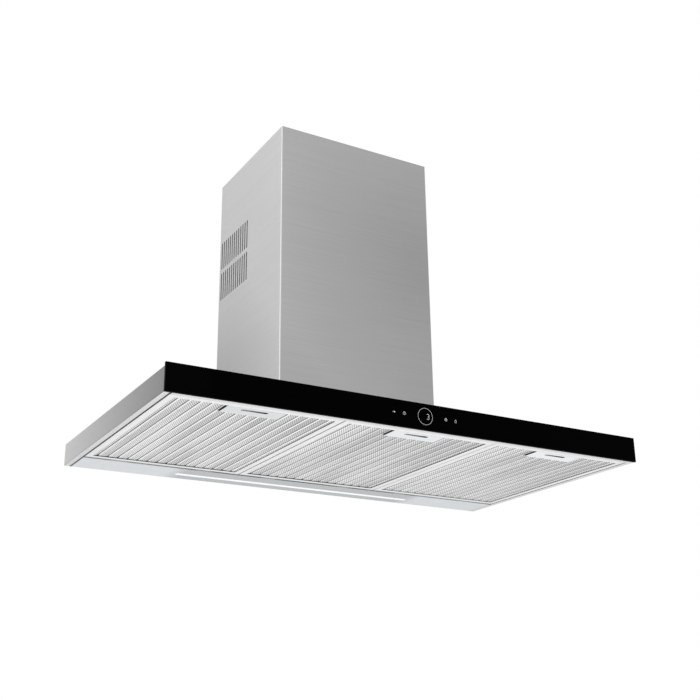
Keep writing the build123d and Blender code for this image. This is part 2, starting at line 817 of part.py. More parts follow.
# Motor bracket: ring behind the motor and arms to the inlet bell's flange
with BuildPart() as motor_bracket:
    with BuildSketch(Plane((motor_face, fan_y, fan_z), (0, 1, 0), (1, 0, 0))):
        Circle(motor_radius)
        with PolarLocations(bell_edge / 2, bracket_arms):
            Rectangle(bell_edge, bracket_arm)
        Circle(bracket_ring, mode=Mode.SUBTRACT)
    extrude(amount=bracket_sheet)
motor_bracket.part.label = "motor_bracket"
export_step(motor_bracket.part, "parts/motor_bracket.step")

# Run capacitor in its band clip on the box's front wall
capacitor_x = box_half - capacitor_side
capacitor_y = box_front + sheet + clip_band + capacitor_radius
capacitor_bottom = canopy_top + capacitor_rise

with BuildPart() as capacitor:
    with BuildSketch(Plane((capacitor_x, capacitor_y, capacitor_bottom))):
        Circle(capacitor_radius)
    extrude(amount=capacitor_length)
    chamfer(capacitor.faces().sort_by(Axis.Z)[-1].edges(), clip_band)
capacitor.part.label = "capacitor"
export_step(capacitor.part, "parts/capacitor.step")

with BuildPart() as capacitor_clip:
    with BuildSketch(Plane((capacitor_x, capacitor_y, capacitor_bottom + capacitor_length / 2))):
        Circle(capacitor_radius + clip_band)
        with Locations((0, -capacitor_radius - clip_band / 2)):
            Rectangle(2 * capacitor_radius, clip_band)
        Circle(capacitor_radius, mode=Mode.SUBTRACT)
    extrude(amount=clip_band_width / 2, both=True)
capacitor_clip.part.label = "capacitor_clip"
export_step(capacitor_clip.part, "parts/capacitor_clip.step")

# Outlet adapter: flange on the box, a loft from the square neck to the round duct collar
adapter_base = box_top + adapter_plate
collar_bottom = adapter_base + adapter_rise
collar_top = collar_bottom + collar_height
collar_y = -collar_radius - collar_wall_room
damper_z = collar_bottom + damper_rise

with BuildPart() as outlet_adapter:
    with BuildSketch(Plane.XY.offset(adapter_base)):
        with Locations((0, neck_middle)):
            Rectangle(2 * half_scroll, neck_depth + 2 * scroll_wall)
    with BuildSketch(Plane.XY.offset(collar_bottom)):
        with Locations((0, collar_y)):
            RegularPolygon(collar_radius, transition_sides)
    loft(ruled=True)
    with BuildSketch(Plane.XY.offset(collar_bottom)):
        with Locations((0, collar_y)):
            Circle(collar_radius)
    extrude(amount=collar_height)
    with BuildSketch(Plane.XY.offset(box_top)):
        with Locations((0, neck_middle - adapter_flange / 2)):
            Rectangle(2 * (half_scroll + adapter_flange), neck_depth + 2 * scroll_wall + adapter_flange)
    extrude(amount=adapter_plate)
    with BuildSketch(Plane.XY.offset(adapter_base)):
        with Locations((0, neck_middle)):
            Rectangle(2 * neck_half, neck_depth)
    with BuildSketch(Plane.XY.offset(collar_bottom)):
        with Locations((0, collar_y)):
            RegularPolygon(collar_radius - collar_wall, transition_sides)
    loft(ruled=True, mode=Mode.SUBTRACT)
    with BuildSketch(Plane.XY.offset(box_top)):
        with Locations((0, neck_middle)):
            Rectangle(2 * neck_half, neck_depth)
    extrude(amount=adapter_plate, mode=Mode.SUBTRACT)
    with BuildSketch(Plane.XY.offset(collar_bottom)):
        with Locations((0, collar_y)):
            Circle(collar_radius - collar_wall)
    extrude(amount=collar_height, mode=Mode.SUBTRACT)
    with BuildSketch(Plane((0, collar_y, damper_z), (0, 1, 0), (1, 0, 0))):
        Circle(pin_radius)
    extrude(amount=collar_radius, both=True, mode=Mode.SUBTRACT)
outlet_adapter.part.label = "outlet_adapter"
export_step(outlet_adapter.part, "parts/outlet_adapter.step")

# Non-return damper: two half-round flaps on one pin across the collar
with BuildPart() as damper_pin:
    with BuildSketch(Plane((0, collar_y, damper_z), (0, 1, 0), (1, 0, 0))):
        Circle(pin_radius)
    extrude(amount=collar_radius - collar_wall / 4, both=True)
damper_pin.part.label = "damper_pin"
export_step(damper_pin.part, "parts/damper_pin.step")

flap_radius = collar_radius - collar_wall - flap_clearance
knuckle_bore = pin_radius + pin_fit
knuckle_radius = knuckle_bore + knuckle_wall
flap_edge = knuckle_radius + knuckle_gap

for name, side, knuckle_x in (("front", -1, knuckle_front), ("rear", 1, knuckle_rear)):
    with BuildPart() as flap:
        with BuildSketch(Plane((0, collar_y, damper_z - flap_sheet / 2))):
            Circle(flap_radius)
            with Locations((0, side * (flap_edge - flap_radius))):
                Rectangle(2 * flap_radius, 2 * flap_radius, mode=Mode.SUBTRACT)
            with Locations((-knuckle_x, side * flap_edge / 2), (knuckle_x, side * flap_edge / 2)):
                Rectangle(knuckle_length, flap_edge)
        extrude(amount=flap_sheet)
        for start in (-knuckle_x - knuckle_length / 2, knuckle_x - knuckle_length / 2):
            with BuildSketch(Plane((start, collar_y, damper_z), (0, 1, 0), (1, 0, 0))):
                Circle(knuckle_radius)
            extrude(amount=knuckle_length)
        with BuildSketch(Plane((0, collar_y, damper_z), (0, 1, 0), (1, 0, 0))):
            Circle(knuckle_bore)
        extrude(amount=flap_radius, both=True, mode=Mode.SUBTRACT)
    flap.part.label = f"damper_flap_{name}"
    export_step(flap.part, f"parts/damper_flap_{name}.step")

# Chimney curb: upstand on the canopy that the chimney slips over and the sleeve rests on
curb_top = canopy_top + curb_height
curb_inner = curb_outer - curb_sheet
curb_depth = -curb_front - 2 * sheet

with BuildPart() as chimney_curb:
    with BuildSketch(Plane((0, curb_front + curb_depth / 2, canopy_top))):
        Rectangle(2 * curb_outer, curb_depth)
        with Locations((0, curb_sheet + curb_foot)):
            Rectangle(2 * (curb_inner - curb_foot), curb_depth, mode=Mode.SUBTRACT)
    extrude(amount=curb_sheet)
    with BuildSketch(Plane((0, curb_front + curb_depth / 2, canopy_top))):
        Rectangle(2 * curb_outer, curb_depth)
        with Locations((0, curb_sheet)):
            Rectangle(2 * curb_inner, curb_depth, mode=Mode.SUBTRACT)
    extrude(amount=curb_height)
chimney_curb.part.label = "chimney_curb"
export_step(chimney_curb.part, "parts/chimney_curb.step")

# Lower chimney: folded sheet with rear flanges and two rows of vent slots on each side
chimney_half = chimney_width / 2
slot_plane = Plane(
    (-chimney_half, -slot_middle_from_wall, canopy_top + slot_middle_rise), (0, 1, 0), (1, 0, 0)
)

with BuildPart() as chimney_lower:
    with BuildSketch(Plane((0, -chimney_depth / 2, canopy_top))):
        Rectangle(chimney_width, chimney_depth)
    extrude(amount=chimney_height)
    front_folds = chimney_lower.edges().filter_by(Axis.Z).group_by(Axis.Y)[0]
    fillet(front_folds, chimney_fold)
    with BuildSketch(Plane((0, -chimney_depth / 2, canopy_top))):
        Rectangle(chimney_width - 2 * sheet, chimney_depth - 2 * sheet)
        with Locations((0, chimney_depth / 2)):
            Rectangle(chimney_width - 2 * chimney_flange, chimney_depth)
    extrude(amount=chimney_height, mode=Mode.SUBTRACT)
    with BuildSketch(slot_plane) as slots:
        with GridLocations(slot_pitch, slot_row_pitch, slot_columns, slot_rows):
            Rectangle(slot_width, slot_height)
        chamfer(slots.vertices(), slot_width / 3)
    extrude(amount=chimney_width, mode=Mode.SUBTRACT)
chimney_lower.part.label = "chimney_lower"
export_step(chimney_lower.part, "parts/chimney_lower.step")

# Upper chimney: the sleeve that is drawn up out of the lower one, shown pushed down
sleeve_inset = sheet + slide_gap
sleeve_width = chimney_width - 2 * sleeve_inset
sleeve_depth = chimney_depth - 2 * sleeve_inset
sleeve_bottom = curb_top + seat_gap
sleeve_length = canopy_top + chimney_height - sleeve_below_top - sleeve_bottom

with BuildPart() as chimney_upper:
    with BuildSketch(Plane((0, -chimney_depth / 2, sleeve_bottom))):
        Rectangle(sleeve_width, sleeve_depth)
        Rectangle(sleeve_width - 2 * sheet, sleeve_depth - 2 * sheet, mode=Mode.SUBTRACT)
        with Locations((0, sleeve_depth / 2)):
            Rectangle(sleeve_width - 2 * chimney_flange, sleeve_depth, mode=Mode.SUBTRACT)
    extrude(amount=sleeve_length)
    sleeve_folds = chimney_upper.edges().filter_by(Axis.Z).group_by(Axis.Y)[0]
    fillet(sleeve_folds, sheet)
chimney_upper.part.label = "chimney_upper"
export_step(chimney_upper.part, "parts/chimney_upper.step")

# Cable gland on the box's top: threaded stem, nut, domed cap and bore
with BuildPart() as cable_gland:
    with BuildSketch(Plane((gland_x, gland_y, neck_top))):
        Circle(gland_radius - gland_fit)
    extrude(amount=gland_height)
    chamfer(cable_gland.faces().sort_by(Axis.Z)[-1].edges(), gland_chamfer)
    with BuildSketch(Plane((gland_x, gland_y, box_top))):
        RegularPolygon(gland_nut, 6)
    extrude(amount=gland_nut_height)
    with BuildSketch(Plane((gland_x, gland_y, neck_top))):
        Circle(gland_bore)
    extrude(amount=gland_height, mode=Mode.SUBTRACT)
cable_gland.part.label = "cable_gland"
export_step(cable_gland.part, "parts/cable_gland.step")
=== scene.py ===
import math

import bmesh
import bpy
from mathutils import Matrix, Vector


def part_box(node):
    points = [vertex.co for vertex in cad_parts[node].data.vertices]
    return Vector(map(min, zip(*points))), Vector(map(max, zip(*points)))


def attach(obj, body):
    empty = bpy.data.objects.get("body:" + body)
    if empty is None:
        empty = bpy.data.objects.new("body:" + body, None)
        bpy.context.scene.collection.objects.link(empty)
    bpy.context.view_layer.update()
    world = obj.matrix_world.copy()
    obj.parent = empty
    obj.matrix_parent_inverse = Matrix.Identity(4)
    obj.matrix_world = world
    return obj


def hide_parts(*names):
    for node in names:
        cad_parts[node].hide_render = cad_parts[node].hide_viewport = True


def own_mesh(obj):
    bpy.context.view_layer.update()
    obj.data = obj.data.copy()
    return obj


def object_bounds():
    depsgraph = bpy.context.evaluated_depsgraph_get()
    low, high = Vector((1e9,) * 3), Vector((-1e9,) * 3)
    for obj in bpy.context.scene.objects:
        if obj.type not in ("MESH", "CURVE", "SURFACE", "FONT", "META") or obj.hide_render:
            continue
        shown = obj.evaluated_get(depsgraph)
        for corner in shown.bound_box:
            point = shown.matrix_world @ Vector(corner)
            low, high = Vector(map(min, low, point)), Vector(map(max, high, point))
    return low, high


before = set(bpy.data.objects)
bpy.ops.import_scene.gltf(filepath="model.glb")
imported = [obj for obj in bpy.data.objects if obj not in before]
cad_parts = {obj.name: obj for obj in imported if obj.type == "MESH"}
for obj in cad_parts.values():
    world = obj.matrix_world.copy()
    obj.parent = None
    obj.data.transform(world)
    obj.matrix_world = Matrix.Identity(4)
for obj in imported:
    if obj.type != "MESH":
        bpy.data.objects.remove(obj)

cadBox = [list(corner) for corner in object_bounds()]
filterSides = ("left", "centre", "right")
mm = 0.001


# Node helpers

def newMaterial(name):
    material = bpy.data.materials.new(name)
    material.use_nodes = True
    tree = material.node_tree
    return material, tree, tree.nodes["Principled BSDF"]


def shade(tone, tint=(1.0, 1.0, 1.0)):
    return tuple(tone * part for part in tint)


def opaque(tone):
    return (*shade(tone), 1)


def stretched(tree, scale):
    coordinates = tree.nodes.new("ShaderNodeTexCoord")
    mapping = tree.nodes.new("ShaderNodeMapping")
    mapping.inputs["Scale"].default_value = scale
    tree.links.new(coordinates.outputs["Object"], mapping.inputs["Vector"])
    return mapping.outputs["Vector"]


def noise(tree, scale, detail, roughness):
    node = tree.nodes.new("ShaderNodeTexNoise")
    node.inputs["Scale"].default_value = 1.0  # the stretch sets it
    node.inputs["Detail"].default_value = detail
    node.inputs["Roughness"].default_value = roughness
    tree.links.new(stretched(tree, scale), node.inputs["Vector"])
    return node.outputs["Fac"]


def cells(tree, scale, feature="F1"):
    node = tree.nodes.new("ShaderNodeTexVoronoi")
    node.feature = feature
    node.inputs["Scale"].default_value = 1.0
    tree.links.new(stretched(tree, scale), node.inputs["Vector"])
    return node.outputs


def ramp(tree, factor, low, high, start=0.3, end=0.7):
    node = tree.nodes.new("ShaderNodeValToRGB")
    node.color_ramp.elements[0].position = start
    node.color_ramp.elements[0].color = (*low, 1)
    node.color_ramp.elements[1].position = end
    node.color_ramp.elements[1].color = (*high, 1)
    tree.links.new(factor, node.inputs["Fac"])
    return node.outputs["Color"]


def steps(tree, factor, stops):
    node = tree.nodes.new("ShaderNodeValToRGB")
    elements = node.color_ramp.elements
    elements[0].position = stops[0][0]
    elements[1].position = stops[-1][0]
    for stop in stops[1:-1]:
        elements.new(stop[0])
    for element, (along, tone) in zip(elements, stops):
        element.color = opaque(tone)
    tree.links.new(factor, node.inputs["Fac"])
    return node.outputs["Color"]


def rescale(tree, value, low, high, start=0.0, end=1.0):
    node = tree.nodes.new("ShaderNodeMapRange")
    node.inputs["From Min"].default_value = start
    node.inputs["From Max"].default_value = end
    node.inputs["To Min"].default_value = low
    node.inputs["To Max"].default_value = high
    tree.links.new(value, node.inputs["Value"])
    return node.outputs["Result"]


def calculate(tree, operation, first, second=0):
    node = tree.nodes.new("ShaderNodeMath")
    node.operation = operation
    for socket, value in zip(node.inputs, (first, second)):
        if isinstance(value, (int, float)):
            socket.default_value = value
        else:
            tree.links.new(value, socket)
    return node.outputs["Value"]


def blend(tree, factor, first, second, mode="MIX"):
    node = tree.nodes.new("ShaderNodeMix")
    node.data_type = "RGBA"
    node.blend_type = mode
    for name, value in (("Factor", factor), ("A", first), ("B", second)):
        socket = next(s for s in node.inputs if s.name == name and s.enabled)
        if isinstance(value, (int, float, tuple)):
            socket.default_value = value
        else:
            tree.links.new(value, socket)
    return next(s for s in node.outputs if s.enabled)


def multiply(tree, first, second):
    return blend(tree, 1.0, first, second, "MULTIPLY")


def facing(tree):
    split = tree.nodes.new("ShaderNodeSeparateXYZ")
    tree.links.new(tree.nodes.new("ShaderNodeTexCoord").outputs["Normal"], split.inputs["Vector"])
    return split.outputs


def position(tree):
    split = tree.nodes.new("ShaderNodeSeparateXYZ")
    tree.links.new(stretched(tree, (1, 1, 1)), split.inputs["Vector"])
    return split.outputs


def between(tree, value, low, high):
    return calculate(tree, "MULTIPLY", calculate(tree, "GREATER_THAN", value, low),
                     calculate(tree, "LESS_THAN", value, high))


faceTurn = {"down": (-0.95, -0.6), "flat": (0.4, 0.8)}  # a normal's Z, over which the finish changes


def facingDown(tree):
    return rescale(tree, facing(tree)["Z"], 1.0, 0.0, *faceTurn["down"])


def lyingFlat(tree):  # 1 on a sheet's two faces, 0 on its cut sides
    return rescale(tree, calculate(tree, "ABSOLUTE", facing(tree)["Z"]), 0.0, 1.0, *faceTurn["flat"])


def paintedShadePool(tree, centre, radius, depth):  # a soft darker pool of painted shade on a sheet
    fade = (0.0, 0.9)
    vector = stretched(tree, (1 / radius,) * 3)
    vector.node.inputs["Location"].default_value = [-part / radius for part in centre]
    node = tree.nodes.new("ShaderNodeTexGradient")
    node.gradient_type = "SPHERICAL"
    tree.links.new(vector, node.inputs["Vector"])
    return ramp(tree, node.outputs["Fac"], shade(1.0), shade(1.0 - depth), *fade)


def bump(tree, shader, height, strength, distance):
    node = tree.nodes.new("ShaderNodeBump")
    node.inputs["Strength"].default_value = strength
    node.inputs["Distance"].default_value = distance
    tree.links.new(height, node.inputs["Height"])
    tree.links.new(node.outputs["Normal"], shader.inputs["Normal"])


# Brushing shared by the satin sheets

brushing = {
    "detail": 5.0, "harshness": 0.6, "edges": (0.36, 0.64), "sheen": 0.06,
    "relief": 0.1, "depth": 0.1 * mm,
}


def brushMarks(tree, grain):
    return noise(tree, grain, brushing["detail"], brushing["harshness"])


def brushTones(tree, streaks, tone, spread, tint=(1.0, 1.0, 1.0)):
    dark, light = spread
    return ramp(tree, streaks, shade(tone * dark, tint), shade(tone * light, tint), *brushing["edges"])


def satinFinish(tree, shader, streaks, colour, metal, rough):
    sheen = rescale(tree, streaks, rough - brushing["sheen"], rough + brushing["sheen"])
    tree.links.new(colour, shader.inputs["Base Color"])
    tree.links.new(sheen, shader.inputs["Roughness"])
    shader.inputs["Metallic"].default_value = metal
    bump(tree, shader, streaks, brushing["relief"], brushing["depth"])


# Materials

def brushedSteel(name, grain, tone, metal, rough, tint=(1.0, 1.0, 1.01)):
    spec = {
        "spread": (0.95, 1.05), "patina": 0.965,
        "clouds": {"scale": (3, 3, 3), "detail": 2.0, "roughness": 0.5},
    }
    material, tree, shader = newMaterial(name)
    streaks = brushMarks(tree, grain)
    colour = brushTones(tree, streaks, tone, spec["spread"], tint)
    patina = ramp(tree, noise(tree, **spec["clouds"]), shade(spec["patina"]), shade(1.0))
    satinFinish(tree, shader, streaks, multiply(tree, colour, patina), metal, rough)
    return material


def paintedOver(material):  # its tree, its colour socket and what feeds that now
    tree = material.node_tree
    target = tree.nodes["Principled BSDF"].inputs["Base Color"]
    return tree, target, target.links[0].from_socket


def chimneySheet(name):
    spec = {
        "grain": (4, 4, 1100), "tone": 0.44, "metal": 0.7, "rough": 0.4,
        "fold": 0.62, "foldTurn": (0.15, 0.4),
        "frontIn": 12.5 * mm, "frontUp": 370 * mm, "frontRadius": 340 * mm, "frontDepth": 0.24,
        "sideUp": 70 * mm, "sideRadius": 300 * mm, "sideDepth": 0.36,
    }
    material = brushedSteel(name, spec["grain"], spec["tone"], spec["metal"], spec["rough"])
    tree, target, colour = paintedOver(material)
    low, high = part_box("chimney_lower")
    # Painted shade: a soft darker pool on the front and one at the rear of each side
    frontPool = (high.x - spec["frontIn"], low.y, low.z + spec["frontUp"])
    colour = multiply(tree, colour, paintedShadePool(tree, frontPool, spec["frontRadius"], spec["frontDepth"]))
    for side in (low.x, high.x):
        sidePool = (side, high.y, low.z + spec["sideUp"])
        colour = multiply(tree, colour, paintedShadePool(tree, sidePool, spec["sideRadius"], spec["sideDepth"]))
    turn = calculate(tree, "MULTIPLY", facing(tree)["X"], facing(tree)["Y"])
    paintedFoldHighlight = rescale(tree, calculate(tree, "ABSOLUTE", turn), 0.0, 1.0, *spec["foldTurn"])
    colour = blend(tree, paintedFoldHighlight, colour, opaque(spec["fold"]))  # a highlight is painted on the bent corners
    tree.links.new(colour, target)
    return material


def filterRim(name, node, outer, inner):
    spec = {"grain": (300, 12, 300), "tone": 0.95, "metal": 0.3, "rough": 0.3, "wall": 2 * mm}
    material = brushedSteel(name, spec["grain"], spec["tone"], spec["metal"], spec["rough"])
    tree, target, flatFaceSteel = paintedOver(material)
    low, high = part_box(node)
    within = between(tree, position(tree)["X"], low.x + spec["wall"], high.x - spec["wall"])
    paintedWallShading = blend(tree, within, opaque(outer), opaque(inner))
    colour = blend(tree, lyingFlat(tree), paintedWallShading, flatFaceSteel)  # the flat faces keep the steel; the cut side walls carry painted shade and painted light
    tree.links.new(colour, target)
    return material


def foldedCanopy(name):
    spec = {
        "grain": (3, 5, 900), "tone": 0.3, "spread": (0.96, 1.04), "front": 0.46, "rear": 1.5,
        "paintedHemTone": 0.86, "lipSpread": (0.97, 1.0), "metal": 0.6, "rough": 0.38,
        "inside": 0.05, "wall": 2 * mm, "edge": 0.2 * mm, "fold": 4 * mm,
    }
    material, tree, shader = newMaterial(name)
    low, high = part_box("canopy_shell")
    spot = position(tree)
    streaks = brushMarks(tree, spec["grain"])
    sheet = brushTones(tree, streaks, spec["tone"], spec["spread"])
    # Painted light: the sheet is darker towards the front and lighter towards the rear
    sheet = multiply(tree, sheet, rescale(tree, spot["Y"], spec["front"], spec["rear"], low.y, high.y))
    paintedHemLight = brushTones(tree, streaks, spec["paintedHemTone"], spec["lipSpread"])
    colour = blend(tree, facingDown(tree), sheet, paintedHemLight)  # the downward hems are painted brighter, as painted light from below
    inside = between(tree, spot["Z"], low.z + spec["edge"], high.z - spec["wall"])
    for axis, first, last in (("X", low.x, high.x), ("Y", low.y, high.y)):
        within = between(tree, spot[axis], first + spec["wall"], last - spec["wall"])
        inside = calculate(tree, "MULTIPLY", inside, within)
    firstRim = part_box("filter_left_frame")[0].x
    lowest = calculate(tree, "LESS_THAN", spot["Z"], low.z + spec["wall"])
    beside = between(tree, spot["X"], firstRim - spec["fold"], firstRim)
    inside = calculate(tree, "MAXIMUM", inside, calculate(tree, "MULTIPLY", lowest, beside))
    # Painted shade, unlit within and at the left hem's turned edge
    colour = blend(tree, inside, colour, opaque(spec["inside"]))
    satinFinish(tree, shader, streaks, colour, spec["metal"], spec["rough"])
    return material


def lampPanel(name):
    spec = {
        "grain": (4, 700, 700), "tone": 0.87, "spread": (0.97, 1.03), "tint": (0.955, 0.985, 1.01),
        "band": 0.61, "fade": 14 * mm, "metal": 0.4, "rough": 0.34,
    }
    material, tree, shader = newMaterial(name)
    low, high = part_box("led_diffuser")
    half = (high.x - low.x) / 2
    streaks = brushMarks(tree, spec["grain"])
    offset = calculate(tree, "SUBTRACT", position(tree)["X"], (low.x + high.x) / 2)
    tone = rescale(tree, calculate(tree, "ABSOLUTE", offset), spec["band"], spec["tone"],
                   half - spec["fade"], half + spec["fade"])  # painted shade darkens the satin beside the lamp
    sheet = brushTones(tree, streaks, 1.0, spec["spread"], spec["tint"])
    satinFinish(tree, shader, streaks, multiply(tree, sheet, tone), spec["metal"], spec["rough"])
    return material


def blackGlass(name):
    spec = {
        "smudge": {"scale": (9, 9, 30), "detail": 3.0, "roughness": 0.5},
        "dark": 0.0002, "light": 0.0005, "rough": (0.03, 0.09), "glint": 0.01,
    }
    material, tree, shader = newMaterial(name)
    smudge = noise(tree, **spec["smudge"])
    colour = ramp(tree, smudge, shade(spec["dark"]), shade(spec["light"]))
    tree.links.new(colour, shader.inputs["Base Color"])
    tree.links.new(rescale(tree, smudge, *spec["rough"]), shader.inputs["Roughness"])
    shader.inputs["Specular IOR Level"].default_value = spec["glint"]
    return material


def expandedMesh(name, node, latch, highlightStrength):
    spec = {
        "cell": {"X": 4.2 * mm, "Y": 6.8 * mm}, "hole": 0.16, "strand": 1.0, "holeEdge": (0.2, 0.5),
        "ribs": 16, "fold": ((0.3, 1.0), (0.42, 0.85), (0.46, 0.2), (0.53, 0.2), (0.57, 1.0)),
        "paintedRidgeHighlight": (0.57, 0.68), "ridgeHighlightTone": 1.0,
        "dust": {"scale": (24, 2, 6), "detail": 3.0, "roughness": 0.6},
        "film": 0.72, "filmEdge": (0.36, 0.62),
        "poolIn": 40 * mm, "poolRadius": 240 * mm, "poolDepth": 0.24,
        "cut": 0.02, "gap": 3.2 * mm, "metal": 0.3, "rough": 0.4, "relief": 0.35, "depth": 0.4 * mm,
    }
    low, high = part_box(node)
    latchLow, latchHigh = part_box(latch)
    pitch = (high.x - low.x) / spec["ribs"]
    material, tree, shader = newMaterial(name)
    spot = position(tree)
    waves = [calculate(tree, "SINE", calculate(tree, "MULTIPLY", spot[axis], math.tau / size))
             for axis, size in spec["cell"].items()]
    weave = rescale(tree, calculate(tree, "MULTIPLY", *waves), 0.0, 1.0, -1.0, 1.0)
    colour = ramp(tree, weave, shade(spec["hole"]), shade(spec["strand"]), *spec["holeEdge"])
    across = calculate(tree, "DIVIDE", calculate(tree, "SUBTRACT", spot["X"], low.x), pitch)
    groove = calculate(tree, "FRACT", calculate(tree, "ADD", across, 0.5))  # 0.5 in the middle of a groove
    # Painted shade: each groove's crease is darkened
    colour = multiply(tree, colour, steps(tree, groove, spec["fold"]))
    dust = noise(tree, **spec["dust"])
    colour = multiply(tree, colour, ramp(tree, dust, shade(spec["film"]), shade(1.0), *spec["filmEdge"]))
    # Painted shade: a soft darker pool near the mesh's corner
    corner = (high.x - spec["poolIn"], low.y + spec["poolIn"], low.z)
    colour = multiply(tree, colour, paintedShadePool(tree, corner, spec["poolRadius"], spec["poolDepth"]))
    # Painted highlight: a white line along each rib's ridge, scaled per filter
    paintedRidgeHighlight = calculate(tree, "MULTIPLY", between(tree, groove, *spec["paintedRidgeHighlight"]), highlightStrength)
    colour = blend(tree, paintedRidgeHighlight, colour, opaque(spec["ridgeHighlightTone"]))
    cut = opaque(spec["cut"])
    beside = between(tree, spot["X"], latchLow.x - spec["gap"], latchLow.x)
    paintedGapShade = calculate(tree, "MULTIPLY", beside, calculate(tree, "LESS_THAN", spot["Y"], latchHigh.y))
    colour = blend(tree, paintedGapShade, colour, cut)  # painted shade of a gap beside the latch's left end
    # The cut sides are painted near black as shade
    tree.links.new(blend(tree, lyingFlat(tree), cut, colour), shader.inputs["Base Color"])
    shader.inputs["Metallic"].default_value = spec["metal"]
    shader.inputs["Roughness"].default_value = spec["rough"]
    bump(tree, shader, weave, spec["relief"], spec["depth"])
    return material


def pressedLatch(name, node, tone):
    spec = {
        "grain": (6, 500, 500), "spread": (0.96, 1.0), "tint": (0.97, 0.99, 1.01),
        "metal": 0.3, "rough": 0.3,
        "wall": (0.6, 0.02), "finger": 45 * mm, "end": 0.004, "endTurn": 0.3,
    }
    low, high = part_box(node)
    middle = (low.x + high.x) / 2
    half = spec["finger"] / 2
    material, tree, shader = newMaterial(name)
    streaks = brushMarks(tree, spec["grain"])
    sheet = brushTones(tree, streaks, tone, spec["spread"], spec["tint"])
    ends = calculate(tree, "GREATER_THAN", calculate(tree, "ABSOLUTE", facing(tree)["X"]), spec["endTurn"])
    along = rescale(tree, position(tree)["X"], *spec["wall"], middle - half, middle + half)
    paintedWallShading = blend(tree, ends, along, opaque(spec["end"]))  # painted shade darkens the finger slot's walls towards its right end; its end walls are painted near black
    colour = blend(tree, lyingFlat(tree), paintedWallShading, sheet)
    satinFinish(tree, shader, streaks, colour, spec["metal"], spec["rough"])
    return material


def galvanised(name, tone):
    spec = {
        "flake": (70, 70, 70), "dark": 0.68, "tint": (0.98, 1.0, 1.02),
        "rough": (0.32, 0.5), "metal": 0.8, "relief": 0.06, "depth": 0.2 * mm,
    }
    material, tree, shader = newMaterial(name)
    spangle = cells(tree, spec["flake"])
    grey = tree.nodes.new("ShaderNodeSeparateColor")
    tree.links.new(spangle["Color"], grey.inputs["Color"])
    dark = shade(tone * spec["dark"])
    colour = ramp(tree, grey.outputs["Red"], dark, shade(tone, spec["tint"]), 0.0, 1.0)
    tree.links.new(colour, shader.inputs["Base Color"])
    tree.links.new(rescale(tree, grey.outputs["Green"], *spec["rough"]), shader.inputs["Roughness"])
    shader.inputs["Metallic"].default_value = spec["metal"]
    bump(tree, shader, spangle["Distance"], spec["relief"], spec["depth"])
    return material


def mouldedPlastic(name, colour, rough):
    spec = {
        "grain": {"scale": (900, 900, 900), "detail": 3.0, "roughness": 0.6}, "sheen": 0.08,
        "flow": {"scale": (12, 12, 12), "detail": 2.0, "roughness": 0.5}, "dark": 0.9, "light": 1.08,
        "relief": 0.15, "depth": 0.2 * mm,
    }
    material, tree, shader = newMaterial(name)
    grain = noise(tree, **spec["grain"])
    flow = noise(tree, **spec["flow"])
    streaked = ramp(tree, flow, shade(spec["dark"], colour), shade(spec["light"], colour))
    sheen = rescale(tree, grain, rough - spec["sheen"], rough + spec["sheen"])
    tree.links.new(streaked, shader.inputs["Base Color"])
    tree.links.new(sheen, shader.inputs["Roughness"])
    bump(tree, shader, grain, spec["relief"], spec["depth"])
    return material


def circuitBoard(name):
    spec = {
        "track": (160, 160, 160), "edges": (0.02, 0.08), "trackColour": (0.05, 0.2, 0.1),
        "boardColour": (0.015, 0.1, 0.05), "rough": 0.35, "relief": 0.2, "depth": 0.2 * mm,
    }
    material, tree, shader = newMaterial(name)
    tracks = cells(tree, spec["track"], "DISTANCE_TO_EDGE")["Distance"]
    colour = ramp(tree, tracks, spec["trackColour"], spec["boardColour"], *spec["edges"])
    tree.links.new(colour, shader.inputs["Base Color"])
    shader.inputs["Roughness"].default_value = spec["rough"]
    bump(tree, shader, tracks, spec["relief"], spec["depth"])
    return material


def milkyLamp(name, strength):
    spec = {
        "spots": {"scale": (45, 10, 10), "detail": 1.0, "roughness": 0.4}, "dim": 0.9,
        "cover": (0.5, 0.51, 0.52, 1), "rough": 0.35,
    }
    material, tree, shader = newMaterial(name)
    spots = noise(tree, **spec["spots"])
    glow = ramp(tree, spots, shade(spec["dim"]), shade(1.0))
    tree.links.new(glow, shader.inputs["Emission Color"])
    shader.inputs["Emission Strength"].default_value = strength
    shader.inputs["Base Color"].default_value = spec["cover"]
    shader.inputs["Roughness"].default_value = spec["rough"]
    return material


def glowingInk(name):
    spec = {
        "dots": {"scale": (800, 800, 800), "detail": 1.0, "roughness": 0.4},
        "glow": 0.6, "dim": 0.51, "strength": 1.0, "ink": 0.1,
    }
    material, tree, shader = newMaterial(name)
    dots = noise(tree, **spec["dots"])
    glow = ramp(tree, dots, shade(spec["dim"]), shade(spec["glow"]))
    tree.links.new(glow, shader.inputs["Emission Color"])
    shader.inputs["Emission Strength"].default_value = spec["strength"]
    shader.inputs["Base Color"].default_value = opaque(spec["ink"])
    return material


def dress(material, *names):
    for name in names:
        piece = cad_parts[name]
        piece.data.materials.clear()
        piece.data.materials.append(material)


springSteel = brushedSteel("springSteel", grain=(60, 60, 600), tone=0.5, metal=0.9, rough=0.3)
dress(springSteel, "filter_seat_clips")
dress(chimneySheet("chimneySteel"), "chimney_lower")
